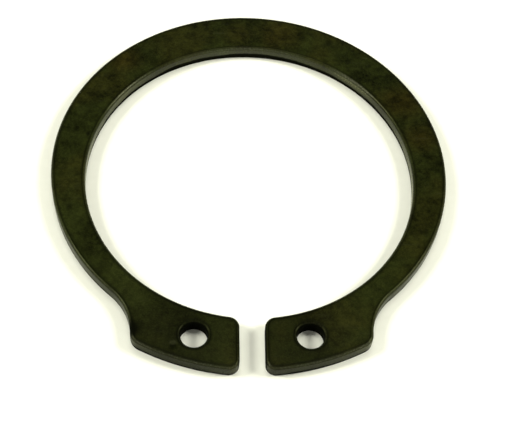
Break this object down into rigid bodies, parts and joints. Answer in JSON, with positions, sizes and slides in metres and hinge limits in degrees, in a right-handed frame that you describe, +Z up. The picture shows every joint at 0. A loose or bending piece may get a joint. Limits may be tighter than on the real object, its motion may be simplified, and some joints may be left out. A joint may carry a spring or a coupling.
{
  "type": "external circlip retaining ring",
  "caption": "Flat spring steel retaining ring, open between lugs with plier holes, for a groove round a shaft.",
  "frame": {"origin": "on the axis of the bore, in the plane of the underside", "axes": "+Z up along the shaft's axis, +Y away from the gap, so the gap and its lugs lie towards -Y"},
  "size_m": [0.039, 0.0418, 0.0015],
  "materials": {
    "phosphated_steel": "phosphated and oiled, dark olive black, satin"
  },
  "bodies": {
    "root": {"retaining_ring": "phosphated_steel"}
  },
  "joints": []
}
